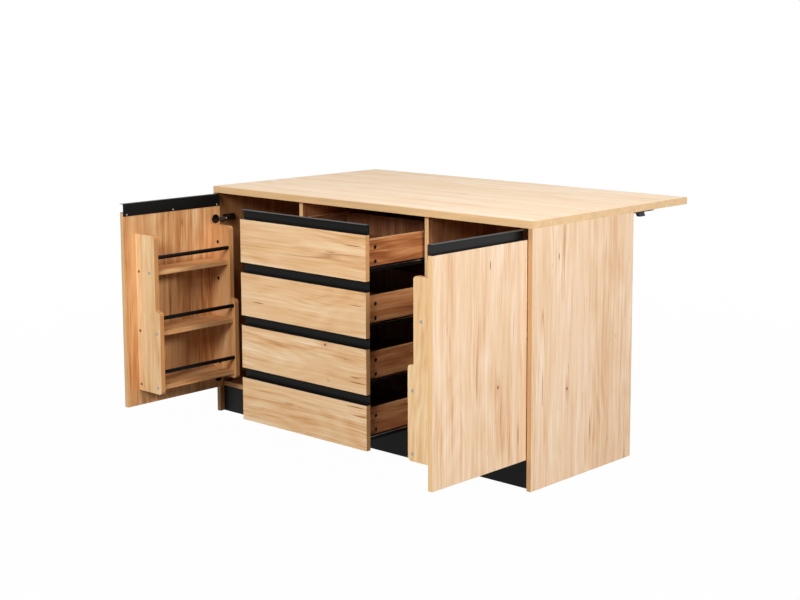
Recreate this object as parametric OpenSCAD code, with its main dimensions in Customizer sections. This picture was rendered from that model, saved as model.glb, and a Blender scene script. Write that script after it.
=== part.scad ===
// Kitchen island unit: drawers between two door cupboards, door racks and a drop leaf.
// Millimetres, +Z up. The origin is on the floor at the centre of the body's footprint,
// the fronts face -Y and the drop leaf is at +Y.

/* [Overall] */
// Width of the body and of the top
unit_w = 1600; // [1400:10:2000]
// Depth of the body and of the fixed top
body_d = 572; // [560:2:700]
// Height of the top surface above the floor
unit_h = 905; // [860:5:960]
// Depth of the drop leaf
leaf_d = 342; // [250:2:450]

/* [Boards] */
// Thickness of the fixed top and of the leaf
top_t = 25; // [18:1:40]
// Thickness of the two side panels
side_t = 18; // [16:1:25]
// Thickness of the two partitions
partition_t = 18; // [15:1:22]
// Thickness of the bottom panel
bottom_t = 18; // [15:1:22]
// Thickness of the back panel
back_t = 16; // [8:1:18]
// Thickness of the toe kick
kick_t = 16; // [12:1:18]
// Thickness of the braces under the bottom panel
brace_t = 18; // [12:1:22]
// Thickness of the doors and drawer fronts
front_t = 18; // [16:1:22]
// Thickness of the adjustable shelves
shelf_t = 18; // [15:1:22]

/* [Carcass] */
// Height of the toe kick
kick_h = 102; // [80:1:150]
// Setback of the partitions and bottom panel behind the face of the fronts
setback = 20; // [19:1:30]
// Setback of the toe kick behind the edge of the bottom panel
kick_setback = 1; // [0:0.5:20]
// Distance from the back panel to the rear edges of the side panels
back_recess = 30; // [28:1:60]
// Distance from the front edge of each shelf to the face of the fronts
shelf_setback = 190; // [180:5:260]
// Height of the underside of the shelves above the bottom panel
shelf_lift = 350; // [250:10:500]
// Play between a shelf and the panels beside it
shelf_play = 1; // [0.5:0.25:2]

/* [Shelf pins] */
// Diameter of a shelf pin
pin_d = 5; // [4:0.5:6]
// Depth of a shelf pin in the panel
pin_in = 9; // [6:1:12]
// Length of a shelf pin under the shelf
pin_out = 9; // [6:1:14]
// Distance of each pin from the shelf's front and back edges
pin_inset = 45; // [20:5:100]
// Radial clearance of a shelf pin in its hole
pin_play = 0.05; // [0.02:0.01:0.1]

/* [Fronts] */
// Width of the drawer fronts
drawer_front_w = 632; // [560:2:700]
// Gap between neighbouring fronts
front_gap = 3; // [2:0.5:5]
// Gap between a door and the side panel beside it
door_side_gap = 2; // [1.5:0.5:3]
// Height of the lowest front edge above the underside of the bottom panel
front_lift = 4; // [0:1:12]
// Gap between the highest handle and the underside of the top
top_gap = 3; // [2:0.5:6]

/* [Handles] */
// Height of the open finger grip between a front's board and its handle's top
reveal = 34; // [25:1:45]
// Thickness of the handle metal
handle_t = 1.5; // [1:0.25:2]
// Height of the part of the handle's back plate that lies on the board
handle_lap = 13; // [10:1:20]
// Height of the handle screws above the lower edge of the back plate
handle_screw_z = 6; // [4:0.5:9]
// Distance of the outer handle screws from the ends
handle_screw_inset = 16; // [10:1:60]
// Diameter of a handle screw
handle_screw_d = 3; // [2:0.5:3.5]
// Diameter of a handle screw's head
handle_screw_head_d = 6; // [5:0.5:7]
// Thickness of a handle screw's head
handle_screw_head_t = 1; // [0.5:0.25:1.5]
// Depth of a handle screw in the board
handle_screw_in = 12; // [8:1:14]

/* [Door hinges] */
// Opening angle of the doors at rest
door_angle = 90; // [0:5:90]
// Distance of the turning axis in front of the fronts
axis_forward = 1; // [0.5:0.25:1.5]
// Height of the lower hinge above the lower edge of the door
hinge_low = 41; // [26:1:41]
// Distance of the upper hinge below the upper edge of the door board
hinge_high = 63; // [60:1:63]
// Diameter of the hinge cup
cup_d = 35; // [26:1:38]
// Depth of the cup hole
cup_depth = 12; // [10:0.5:13]
// Distance from the cup hole to the door's edge
cup_edge = 5; // [4:0.5:7]
// Radial clearance of the cup in its hole
cup_play = 0.1; // [0.05:0.05:0.2]
// Sheet thickness of the cup and its flange
cup_t = 1.5; // [1:0.1:2]
// Width of the cup's flange across the door
cup_flange_w = 24; // [16:1:30]
// Height of the cup's flange
cup_flange_h = 30; // [24:1:32]
// Distance of the link's pin from the side panel
link_pin_x = 27.5; // [26:0.5:34]
// Distance of the link's pin behind the face of the fronts
link_pin_y = 25; // [24.5:0.5:32]
// Length of the link
link_l = 40.5; // [38:0.5:43]
// Thickness of the link
link_t = 5; // [4:0.5:6]
// Height of the link
link_h = 12; // [10:0.5:14]
// Height of the tongue where the link is pinned
tongue_h = 6; // [4:0.5:8]
// Diameter of the link's pin
link_pin_d = 3; // [2.5:0.5:4]
// Radius of the knuckle round the link's pin
knuckle_r = 4.5; // [4:0.25:5]
// Distance from the knuckle to the shoulder of the link
link_shoulder = 3; // [2.5:0.25:5]
// Clearance round the knuckle in the fork of the hinge arm
fork_play = 1.5; // [0.5:0.25:2]
// Height of the hinge arm
arm_h = 14; // [12:0.5:18]
// Width of the hinge arm at its rear end
arm_rear_w = 9; // [6:0.5:12]
// Thickness of the hinge's mounting plate
hinge_plate_t = 2.5; // [2:0.25:4]
// Length of the hinge's mounting plate
hinge_plate_l = 58; // [40:1:70]
// Distance by which the mounting plate reaches past the hinge arm
hinge_plate_over = 4; // [2:0.5:6]
// Height over which the cup's seat and the link's sloping end overlap in the open door
seat_overlap = 1; // [0.5:0.25:1.5]
// Width of the seat along its top
seat_w = 2.5; // [2:0.25:4]
// Gap between the seat and the link's sloping end
seat_gap = 0.3; // [0.2:0.05:0.4]
// Running clearance of the hinge's pin and tongue
hinge_play = 0.05; // [0.02:0.01:0.1]

/* [Door racks] */
// Thickness of the rack's side boards
rack_side_t = 18; // [12:1:20]
// Thickness of the rack's shelves
rack_shelf_t = 16; // [10:1:18]
// Depth of the rack above its step
rack_upper_d = 110; // [80:1:115]
// Extra depth of the rack below its step
rack_step_d = 25; // [22:1:30]
// Height of the rack's lower end above the door's lower edge
rack_lift = 60; // [59:1:80]
// Distance of the rack's upper end below the upper edge of the door board
rack_drop = 81; // [60:1:120]
// Height of the step above the rack's lower end
rack_step = 312; // [280:2:340]
// Rounding of the rack's outer corners
rack_r = 13; // [6:1:16]
// Rounding of the hollow corner at the step
rack_step_r = 6; // [3:1:8]
// Distance of the rack from the door's free edge
rack_free = 54; // [45:1:80]
// Distance of the rack from the door's hinge edge
rack_hinge = 27.5; // [24:0.5:40]
// Height of the lowest shelf's middle above the rack's lower end
tier_1 = 24; // [16:1:40]
// Height of the second shelf's middle above the rack's lower end
tier_2 = 229; // [180:1:250]
// Distance of the third shelf's middle below the rack's upper end
tier_3_drop = 142; // [110:1:180]
// Distance from a shelf's front edge to the front of the rack's sides
tier_setback = 12; // [4:1:25]
// Diameter of the rack's rails
rail_d = 15; // [6:1:18]
// Height of a rail above the middle of its shelf
rail_lift = 58; // [40:1:80]
// Distance of a rail's middle from the front of the rack's sides
rail_setback = 12; // [10:1:20]
// Depth of the socket that holds each end of a rail
rail_socket = 6; // [3:1:10]
// Radial clearance of a rail in its sockets
rail_play = 0.1; // [0.05:0.05:0.3]

/* [Rack fixings] */
// Diameter of a rack screw
screw_d = 4; // [3:0.5:5]
// Diameter of a rack screw's head
screw_head_d = 12; // [6:0.5:14]
// Thickness of a rack screw's head
screw_head_t = 2; // [1:0.5:3]
// Depth of a rack screw in the shelf
screw_in = 24; // [15:1:30]
// Distance of the lower shelves' front screws from the shelf's front edge
screw_front = 8; // [7:1:30]
// Distance of the highest shelf's front screws from its front edge
screw_front_high = 20; // [10:1:35]
// Diameter of the blind connector holes
connector_d = 8; // [6:0.5:10]
// Depth of the blind connector holes
connector_in = 9; // [5:0.5:10]
// Distance of the upper cam hole in the rack's inner faces below its upper end
connector_drop = 67; // [30:1:90]
// Height of the middle cam hole in the rack's inner faces above the step
connector_rise = 74; // [20:1:100]
// Height of the lower cam hole in the rack's inner faces above its lower end
connector_low = 52; // [40:1:200]
// Distance of the connector holes in the rack's outer faces from the door
connector_inset = 15; // [10:1:25]
// Distance of the cam holes in the rack's inner faces from the door
rack_cam_inset = 39; // [20:1:60]
// Radial clearance of a screw in its hole
screw_play = 0.05; // [0.02:0.01:0.1]

/* [Drawer boxes] */
// Distance that the drawers stand open at rest
drawer_pull = 280; // [0:10:330]
// Thickness of the sides and back of a box
box_t = 15; // [12:1:16]
// Gap between the back of a closed drawer and the back panel
box_rear_gap = 8; // [6:1:120]
// Play between the top of a box and the handle's back plate
box_top_play = 7; // [0.5:0.5:20]
// Height of a box above the lower edge of its front
box_lift = 46; // [40:1:55]
// Thickness of a box's bottom
box_bottom_t = 6; // [3:0.5:8]
// Height of a box's bottom above the lower edge of its sides
box_bottom_lift = 10; // [6:1:15]
// Depth of the groove that holds a box's bottom
groove_in = 6; // [4:0.5:8]
// Clearance of a box's bottom in its groove
groove_play = 0.1; // [0.05:0.05:0.3]
// Distance of the box's cam holes behind the front
cam_inset = 49; // [24:1:60]
// Height of the lower cam hole above the box's lower edge
cam_low = 13; // [10:1:25]
// Distance between a box side's two cam holes
cam_pitch = 49; // [30:1:60]
// Diameter of the cam holes in the boxes and the racks
cam_d = 15; // [8:0.5:15]
// Depth of the cam holes in the boxes and the racks
cam_in = 8.5; // [6:0.5:8.5]

/* [Drawer runners] */
// Gap between a box and a partition, which the runners fill
runner_gap = 12.5; // [12:0.5:14]
// Sheet thickness of the runners
runner_t = 1.2; // [1:0.1:2]
// Height of a drawer runner, which hangs under the box's lower edge
runner_h = 18; // [16:0.5:22]
// Width of a drawer runner under the box's side
runner_foot = 12; // [8:1:14]
// Radius of a runner's roller
roller_r = 7; // [5:0.25:7]
// Width of a runner's roller
roller_w = 5; // [4:0.5:6]
// Diameter of a roller's axle
axle_d = 3; // [2:0.5:4]
// Running clearance round the rollers and flanges
runner_play = 0.3; // [0.2:0.1:0.6]
// Distance of a roller's axle from its runner's end
roller_inset = 12; // [9:1:20]

/* [Drop leaf] */
// Gap between the fixed top and the leaf
leaf_gap = 1; // [0.5:0.25:2]
// Distance of the turning axis below the underside of the leaf
leaf_axis_drop = 6; // [6:0.25:8]
// Distance of each middle hinge from the unit's middle
leaf_hinge_x = 300; // [150:10:500]
// Width of a middle hinge
leaf_hinge_w = 70; // [50:2:100]
// Length of each of a middle hinge's plates
leaf_hinge_l = 24; // [18:1:26]
// Thickness of a middle hinge's plates
leaf_hinge_t = 2; // [1.5:0.25:2.5]
// Radius of a middle hinge's knuckles
leaf_knuckle_r = 4; // [3.5:0.25:4]
// Diameter of a middle hinge's pin
leaf_pin_d = 4; // [3:0.5:4]

/* [Leaf brackets] */
// Length of the arm under the leaf
bracket_arm_l = 155; // [135:5:220]
// Width of the arm under the leaf
bracket_arm_w = 18; // [16:1:30]
// Depth of the arm under the leaf
bracket_arm_h = 8; // [7:0.5:12]
// Sheet thickness of the brackets
bracket_t = 2; // [1.5:0.25:2.5]
// Side gap between the bracket's fixed plate and the arm
bracket_gap = 1; // [0.5:0.25:2]
// Distance from the ear round the bracket's pin to the web of the arm
arm_web_gap = 3; // [2.5:0.5:8]
// Height of the bracket's fixed plate
bracket_plate_h = 130; // [80:5:200]
// Width of the bracket's fixed plate
bracket_plate_w = 22; // [16:1:24]
// Diameter of the bracket's pin
bracket_pin_d = 6; // [4:0.5:7]
// Radius of the ear round the bracket's pin
bracket_ear_r = 5.5; // [4.5:0.25:5.5]
// Distance of the release lever's pin from the leaf's axis
lever_pin_y = 62; // [50:1:90]
// Diameter of the release lever's pin
lever_pin_d = 3; // [2:0.5:3.5]
// Distance that the lever's pin lies above the arm's lower edge
lever_pin_rise = 1.5; // [1:0.25:2]
// Width of metal round the release lever's pin
lever_ear_w = 2.5; // [2:0.25:4]
// Radius of the hub of the release lever
lever_hub_r = 4; // [3:0.25:4]
// Length of the release lever's paddle
lever_l = 44; // [30:1:60]
// Distance that the release lever hangs below its pin
lever_drop = 17.5; // [12:0.5:24]
// Length by which the paddle's end slopes outwards
lever_slope = 7; // [0:0.5:12]
// Distance from the pin to the inner end of the paddle's lower edge
lever_root = 11; // [6:1:20]
// Distance of the paddle's upper edge below its pin
lever_top_gap = 2; // [1.75:0.25:3]
// Side play of the release lever in its arm
lever_side_play = 0.5; // [0.3:0.1:1]
// Running clearance of the leaf's pins
leaf_play = 0.05; // [0.02:0.01:0.1]

/* [Hidden] */
$fn = 48;
// Overshoot of a cut past the face that it opens
cut = 0.5;

top_color = "#F3DBB8";
panel_color = "#E9C497";
front_color = "#E3BA89";
inner_color = "#C08B58";
black_color = "#1D1D1F";
steel_color = "#8C8C90";
hinge_color = "#3A3836";
cap_color = "#A9A9A6";

front_y = -body_d / 2;
rear_y = body_d / 2;
side_in_x = -unit_w / 2 + side_t;
top_z = unit_h - top_t;
floor_z = kick_h + bottom_t;
back_y = rear_y - back_recess - back_t;
carcass_y = front_y + setback;
kick_y = carcass_y + kick_setback;
partition_mid_x = -(drawer_front_w + front_gap) / 2;
partition_x = [partition_mid_x - partition_t / 2, partition_mid_x + partition_t / 2];

fronts_z = kick_h + front_lift;
handles_top_z = top_z - top_gap;
drawer_count = 4;
drawer_pitch = (handles_top_z - fronts_z + front_gap) / drawer_count;
drawer_front_h = drawer_pitch - front_gap - reveal;
front_in_y = front_y + front_t;
door_h = handles_top_z - reveal - fronts_z;
door_x = [side_in_x + door_side_gap, -drawer_front_w / 2 - front_gap];
door_top_z = fronts_z + door_h;

shelf_z = floor_z + shelf_lift;
shelf_y = [front_y + shelf_setback, back_y - shelf_play];
shelf_pin_y = [shelf_y[0] + pin_inset, shelf_y[1] - pin_inset];

door_axis = [side_in_x + door_side_gap / 2, front_y - axis_forward, 0];
hinge_z = [fronts_z + hinge_low, door_top_z - hinge_high];
cup_x = door_x[0] + cup_edge + cup_d / 2;
link_pin = [side_in_x + link_pin_x, front_y + link_pin_y, 0];
link_reach = link_pin - door_axis;
seat_x = link_l + sqrt(2) * seat_gap - link_t / 2 - link_reach[0] - link_reach[1];

rack_x = [door_x[0] + rack_hinge, door_x[1] - rack_free];
rack_inner_x = [rack_x[0] + rack_side_t, rack_x[1] - rack_side_t];
rack_lower_d = rack_upper_d + rack_step_d;
rack_z = fronts_z + rack_lift;
rack_h = door_h - rack_lift - rack_drop;
rack_tiers = [tier_1, tier_2, rack_h - tier_3_drop];
rack_connectors = [connector_low, rack_step + connector_rise, rack_h - connector_drop];

box_x = -partition_x[1] - runner_gap;
box_in_x = box_x - box_t;
box_d = back_y - box_rear_gap - front_in_y;
box_y = [front_in_y, front_in_y + box_d];
box_h = drawer_front_h - handle_lap - box_top_play - box_lift;
box_bottom_z = box_lift + box_bottom_lift;
roller_gap = [runner_gap / 2 - roller_w / 2, runner_gap / 2 + roller_w / 2];
flange_z = runner_h - runner_t;
front_roller_z = flange_z - runner_play - roller_r;
rear_roller_z = roller_r - runner_t - runner_play;
track_z = rear_roller_z - roller_r - runner_play;
keeper_z = runner_h + 2 * runner_play;

leaf_y = rear_y + leaf_gap;
leaf_axis = [0, rear_y + leaf_gap / 2, top_z - leaf_axis_drop];
arm_z = leaf_axis_drop - bracket_arm_h;
arm_x = side_in_x + bracket_t + bracket_gap;
lever_pin_z = arm_z + lever_pin_rise;
lever_x = [arm_x + bracket_t + lever_side_play, arm_x + bracket_arm_w - bracket_t - lever_side_play];

// A box between two corners, given as a range along each axis
module slab(x, y, z)
    translate([x[0], y[0], z[0]]) cube([x[1] - x[0], y[1] - y[0], z[1] - z[0]]);

// A rod along X between two ends
module rod_x(x, y, z, d)
    translate([x[0], y, z]) rotate([0, 90, 0]) cylinder(d = d, h = x[1] - x[0]);

// A rod along Y between two ends
module rod_y(x, y, z, d)
    translate([x, y[0], z]) rotate([-90, 0, 0]) cylinder(d = d, h = y[1] - y[0]);

// An outline in Y and Z, drawn out along X
module drawn_x(x) translate([x[0], 0, 0]) rotate([90, 0, 90]) linear_extrude(x[1] - x[0]) children();

// The unit is alike on both sides: each paired piece is drawn on the left
module both_sides() {
    children();
    mirror([1, 0, 0]) children();
}
module on_side(side) {
    if (side == "right") mirror([1, 0, 0]) children();
    else children();
}

// Cuts a convex corner at the origin, whose faces run to -X and -Y, to a radius
module round_corner(r) translate([-r, -r]) difference() {
    square(r + cut);
    circle(r);
}

// ---- Carcass ----

module worktop() color(top_color)
    slab([-unit_w / 2, unit_w / 2], [front_y, rear_y], [top_z, unit_h]);

// Pins in the panels on both sides of the left cupboard, or the holes that take them
module shelf_pin_rods(d, depth) for (y = shelf_pin_y) {
    rod_x([side_in_x - depth, side_in_x + pin_out], y, shelf_z - pin_d / 2, d);
    rod_x([partition_x[0] - pin_out, partition_x[0] + depth], y, shelf_z - pin_d / 2, d);
}
module shelf_pin_holes() shelf_pin_rods(pin_d + 2 * pin_play, pin_in + pin_play);

module side_panel(side) color(panel_color) on_side(side) difference() {
    slab([-unit_w / 2, side_in_x], [front_y, rear_y], [0, top_z]);
    shelf_pin_holes();
}

module partition(side) color(inner_color) on_side(side) difference() {
    slab(partition_x, [carcass_y, back_y], [floor_z, top_z]);
    shelf_pin_holes();
}

module bottom_panel() color(inner_color)
    slab([side_in_x, -side_in_x], [carcass_y, back_y], [kick_h, floor_z]);

module back_panel() color(panel_color)
    slab([side_in_x, -side_in_x], [back_y, back_y + back_t], [0, top_z]);

module toe_kick() color(black_color)
    slab([side_in_x, -side_in_x], [kick_y, kick_y + kick_t], [0, kick_h]);

// One brace under each partition and one in the middle
module plinth_braces() color(inner_color) for (x = [partition_mid_x, 0, -partition_mid_x])
    slab([x - brace_t / 2, x + brace_t / 2], [kick_y + kick_t, back_y], [0, kick_h]);

module shelves() color(inner_color) both_sides()
    slab([side_in_x + shelf_play, partition_x[0] - shelf_play], shelf_y, [shelf_z, shelf_z + shelf_t]);

module shelf_pins() color(steel_color) both_sides() shelf_pin_rods(pin_d, pin_in);

// ---- Drawer runners: one half on the partition, one on the box, a roller on each ----

// A box in the gap beside a drawer, with X measured outwards from the box's face
module gap_slab(gap, y, z) slab([-box_x - gap[1], -box_x - gap[0]], y, z);

// A roller on its axle, which reaches from the runner's web
module roller(y, z, web) {
    rod_x([-box_x - roller_gap[1], -box_x - roller_gap[0]], y, z, 2 * roller_r);
    rod_x([-box_x - max(web, roller_gap[1]), -box_x - min(web, roller_gap[0])], y, z, axle_d);
}

module cabinet_runner() {
    y = [carcass_y, carcass_y + box_d];
    gap_slab([runner_gap - runner_t, runner_gap], y, [track_z - runner_t, keeper_z + runner_t]);
    gap_slab([roller_gap[0], runner_gap], y, [track_z - runner_t, track_z]);
    gap_slab([roller_gap[0] + runner_t, runner_gap], y, [keeper_z, keeper_z + runner_t]);
    roller(y[0] + roller_inset, front_roller_z, runner_gap - runner_t / 2);
}
module cabinet_runners() color(black_color) both_sides() for (n = [0 : drawer_count - 1])
    translate([0, 0, fronts_z + n * drawer_pitch + box_lift - runner_h]) cabinet_runner();

module box_runner() {
    gap_slab([0, runner_t], box_y, [-runner_t, runner_h]);
    gap_slab([-runner_foot, roller_gap[1]], box_y, [flange_z, runner_h]);
    roller(box_y[1] - roller_inset, rear_roller_z, runner_t / 2);
}

// ---- Fronts ----

// The channel-shaped grip along the top of a front: a plate behind the board, a foot on it and a lip above
module grip(x, board_top_z) {
    top = board_top_z + reveal;
    slab(x, [front_in_y, front_in_y + handle_t], [board_top_z - handle_lap, top]);
    for (z = [board_top_z, top - handle_t]) slab(x, [front_y, front_in_y + handle_t], [z, z + handle_t]);
}

// Places each screw that holds the left door's grip
module at_grip_screws() {
    inset = handle_screw_inset;
    for (x = [door_x[0] + inset, (door_x[0] + door_x[1]) / 2, door_x[1] - inset])
        translate([x, front_in_y, door_top_z - handle_lap + handle_screw_z]) children();
}

// The screws through the grip's plate into the door, or their holes
module grip_screw_rods(play) at_grip_screws()
    rod_y(0, [-handle_screw_in - play, handle_t + play], 0, handle_screw_d + 2 * play);

// ---- Drawers ----

module drawer_place(n) translate([0, -drawer_pull, fronts_z + (drawer_count - n) * drawer_pitch]) children();

module drawer_front(n) color(front_color) drawer_place(n)
    slab([-drawer_front_w / 2, drawer_front_w / 2], [front_y, front_in_y], [0, drawer_front_h]);

module drawer_handle(n) color(black_color) drawer_place(n)
    grip([-drawer_front_w / 2, drawer_front_w / 2], drawer_front_h);

module drawer_sides(n) color(inner_color) drawer_place(n) both_sides() difference() {
    slab([-box_x, -box_in_x], box_y, [box_lift, box_lift + box_h]);
    slab([-box_in_x - groove_in, -box_in_x + cut], [box_y[0] - cut, box_y[1] + cut],
         [box_bottom_z - groove_play, box_bottom_z + box_bottom_t + groove_play]);
    for (z = [cam_low, cam_low + cam_pitch])
        rod_x([-box_x - cut, -box_x + cam_in], box_y[0] + cam_inset, box_lift + z, cam_d);
}

module drawer_back(n) color(inner_color) drawer_place(n)
    slab([-box_in_x, box_in_x], [box_y[1] - box_t, box_y[1]],
         [box_bottom_z + box_bottom_t, box_lift + box_h]);

module drawer_bottom(n) color(inner_color) drawer_place(n)
    slab([-box_in_x - groove_in + groove_play, box_in_x + groove_in - groove_play], box_y,
         [box_bottom_z, box_bottom_z + box_bottom_t]);

module drawer_runners(n) color(black_color) drawer_place(n)
    both_sides() translate([0, 0, box_lift - runner_h]) box_runner();

// ---- Doors, drawn closed on the left, then opened about their axis ----

module door_place(side) on_side(side)
    translate(door_axis) rotate([0, 0, -door_angle]) translate(-door_axis) children();

module door(side) color(panel_color) door_place(side) difference() {
    slab(door_x, [front_y, front_in_y], [fronts_z, door_top_z]);
    for (z = hinge_z) rod_y(cup_x, [front_in_y - cup_depth, front_in_y + cut], z, cup_d);
    grip_screw_rods(screw_play);
}

module door_handle(side) color(black_color) door_place(side) difference() {
    grip(door_x, door_top_z);
    grip_screw_rods(screw_play);
}

// The seat on the cup's rim for the link's end. Its slope runs along the path of that end.
module cup_seat() {
    low = front_in_y - door_axis[1];
    top = link_reach[0] - link_t / 2 + seat_overlap;
    translate([door_axis[0] + seat_x, door_axis[1], -link_h / 2]) linear_extrude(link_h)
        polygon([[low, low], [top, top], [top + seat_w, top], [top + seat_w, low]]);
}

// The cup in its hole, with the flange that is screwed to the door
module hinge_cup() {
    rim = cup_d - 2 * cup_play;
    difference() {
        union() {
            rod_y(cup_x, [front_in_y - cup_depth + cup_play, front_in_y + cup_t], 0, rim);
            slab([cup_x - cup_flange_w / 2, cup_x + cup_flange_w / 2], [front_in_y, front_in_y + cup_t],
                 [-cup_flange_h / 2, cup_flange_h / 2]);
        }
        rod_y(cup_x, [front_in_y - cup_depth + cup_play + cup_t, front_in_y + cup_t + cut], 0,
              rim - 2 * cup_t);
    }
    cup_seat();
}
module door_hinge_cups(side) color(hinge_color) door_place(side)
    for (z = hinge_z) translate([0, 0, z]) hinge_cup();

// The fixed arm: a plate on the side panel and an arm that forks round the link's tongue
module hinge_arm() {
    plate_y = [link_pin[1] + knuckle_r, link_pin[1] + knuckle_r + hinge_plate_l];
    plate_x = [side_in_x, side_in_x + hinge_plate_t];
    half_h = arm_h / 2 + hinge_plate_over;
    slab(plate_x, plate_y, [-half_h, half_h]);
    difference() {
        union() {
            translate([0, 0, -arm_h / 2]) linear_extrude(arm_h) polygon([
                [plate_x[1], plate_y[1] - hinge_plate_over],
                [plate_x[1] + arm_rear_w, plate_y[1] - hinge_plate_over],
                [link_pin[0] + knuckle_r, link_pin[1]],
                [link_pin[0] - knuckle_r, link_pin[1]],
                [plate_x[1], plate_y[0] + 2 * hinge_plate_over]]);
            translate([link_pin[0], link_pin[1], -arm_h / 2]) cylinder(r = knuckle_r, h = arm_h);
        }
        translate([link_pin[0], link_pin[1], -tongue_h / 2 - hinge_play])
            cylinder(r = knuckle_r + fork_play, h = tongue_h + 2 * hinge_play);
    }
    translate([link_pin[0], link_pin[1], -arm_h / 2]) cylinder(d = link_pin_d, h = arm_h);
}
module hinge_arms() color(hinge_color) both_sides()
    for (z = hinge_z) translate([0, 0, z]) hinge_arm();

// The link from the arm to the cup, drawn with the door closed
module hinge_link() {
    shoulder = knuckle_r + link_shoulder;
    translate(link_pin) difference() {
        union() {
            translate([0, 0, -tongue_h / 2]) cylinder(r = knuckle_r, h = tongue_h);
            slab([0, shoulder + cut], [-link_t / 2, link_t / 2], [-tongue_h / 2, tongue_h / 2]);
            translate([0, 0, -link_h / 2]) linear_extrude(link_h)
                polygon([[shoulder, -link_t / 2], [link_l - link_t, -link_t / 2],
                         [link_l, link_t / 2], [shoulder, link_t / 2]]);
        }
        translate([0, 0, -tongue_h / 2 - cut])
            cylinder(d = link_pin_d + 2 * hinge_play, h = tongue_h + 2 * cut);
    }
}
module hinge_links(side) color(hinge_color) on_side(side)
    translate(link_pin) rotate([0, 0, -door_angle]) translate(-link_pin)
        for (z = hinge_z) translate([0, 0, z]) hinge_link();

// ---- Door racks ----

function tier_depth(tier) = (tier < rack_step ? rack_lower_d : rack_upper_d) - tier_setback;
function rail_place(tier) = (tier < rack_step ? rack_lower_d : rack_upper_d) - rail_setback;

module rack_outline() difference() {
    union() {
        square([rack_lower_d, rack_step]);
        square([rack_upper_d, rack_h]);
        translate([rack_upper_d, rack_step]) difference() {
            square(rack_step_r);
            translate([rack_step_r, rack_step_r]) circle(rack_step_r);
        }
    }
    translate([rack_lower_d, 0]) mirror([0, 1]) round_corner(rack_r);
    translate([rack_lower_d, rack_step]) round_corner(rack_r);
    translate([rack_upper_d, rack_h]) round_corner(rack_r);
}

module rack_place(side) door_place(side) translate([0, front_in_y, rack_z]) children();

module rack_rail_rods(d, socket) for (t = rack_tiers)
    rod_x([rack_inner_x[0] - socket, rack_inner_x[1] + socket], rail_place(t), t + rail_lift, d);

// The screws through both sides into the ends of each shelf, or their holes
module rack_screw_rods(play) for (t = rack_tiers) {
    y = tier_depth(t) - (t < rack_step ? screw_front : screw_front_high);
    d = screw_d + 2 * play;
    head_d = screw_head_d + 2 * play;
    rod_x([rack_x[0], rack_inner_x[0] + screw_in + play], y, t, d);
    rod_x([rack_x[0] - play, rack_x[0] + screw_head_t], y, t, head_d);
    rod_x([rack_inner_x[1] - screw_in - play, rack_x[1]], y, t, d);
    rod_x([rack_x[1] - screw_head_t, rack_x[1] + play], y, t, head_d);
}

module rack_connector_holes() {
    for (t = rack_tiers) {
        rod_x([rack_x[0] - cut, rack_x[0] + connector_in], connector_inset, t, connector_d);
        rod_x([rack_x[1] - connector_in, rack_x[1] + cut], connector_inset, t, connector_d);
    }
    for (z = rack_connectors) {
        rod_x([rack_inner_x[0] - cam_in, rack_inner_x[0] + cut], rack_cam_inset, z, cam_d);
        rod_x([rack_inner_x[1] - cut, rack_inner_x[1] + cam_in], rack_cam_inset, z, cam_d);
    }
}

module door_rack_sides(side) color(panel_color) rack_place(side) difference() {
    for (x = [[rack_x[0], rack_inner_x[0]], [rack_inner_x[1], rack_x[1]]]) drawn_x(x) rack_outline();
    rack_rail_rods(rail_d + 2 * rail_play, rail_socket);
    rack_screw_rods(screw_play);
    rack_connector_holes();
}

module door_rack_shelves(side) color(inner_color) rack_place(side) difference() {
    for (t = rack_tiers)
        slab(rack_inner_x, [0, tier_depth(t)], [t - rack_shelf_t / 2, t + rack_shelf_t / 2]);
    rack_screw_rods(screw_play);
}

module door_rack_rails(side) color(black_color) rack_place(side) rack_rail_rods(rail_d, rail_socket);

module door_screws(side) color(cap_color) {
    rack_place(side) rack_screw_rods(0);
    door_place(side) {
        grip_screw_rods(0);
        at_grip_screws() rod_y(0, [handle_t, handle_t + handle_screw_head_t], 0, handle_screw_head_d);
    }
}

// ---- Drop leaf: everything here is drawn about its turning axis ----

module at_leaf_axis() translate(leaf_axis) children();

module leaf() color(top_color)
    slab([-unit_w / 2, unit_w / 2], [leaf_y, leaf_y + leaf_d], [top_z, unit_h]);

// The middle hinges' plates: two knuckles on the fixed plate, one between them on the leaf's
leaf_knuckle_w = leaf_hinge_w / 5;
leaf_plate_z = [leaf_axis_drop - leaf_hinge_t, leaf_axis_drop];

module knuckle(x) rod_x(x, 0, 0, 2 * leaf_knuckle_r);

module leaf_hinge_plate() {
    for (x = [[-leaf_hinge_w / 2, -leaf_hinge_w / 2 + leaf_knuckle_w],
              [leaf_hinge_w / 2 - leaf_knuckle_w, leaf_hinge_w / 2]]) {
        knuckle(x);
        slab(x, [-leaf_knuckle_r, 0], [0, leaf_plate_z[0]]);
    }
    slab([-leaf_hinge_w / 2, leaf_hinge_w / 2], [-leaf_gap - leaf_hinge_l, -leaf_gap], leaf_plate_z);
    rod_x([-leaf_hinge_w / 2, leaf_hinge_w / 2], 0, 0, leaf_pin_d);
}
module leaf_hinge_plates() color(steel_color) both_sides() at_leaf_axis()
    translate([-leaf_hinge_x, 0, 0]) leaf_hinge_plate();

module leaf_hinge_flap() {
    x = leaf_hinge_w / 2 - leaf_knuckle_w - leaf_play;
    difference() {
        union() {
            knuckle([-x, x]);
            slab([-x, x], [0, leaf_knuckle_r], [0, leaf_plate_z[0]]);
            slab([-leaf_hinge_w / 2, leaf_hinge_w / 2], [leaf_gap, leaf_gap + leaf_hinge_l], leaf_plate_z);
        }
        rod_x([-leaf_hinge_w, leaf_hinge_w], 0, 0, leaf_pin_d + 2 * leaf_play);
    }
}
module leaf_hinge_flaps() color(steel_color) both_sides() at_leaf_axis()
    translate([-leaf_hinge_x, 0, 0]) leaf_hinge_flap();

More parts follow.
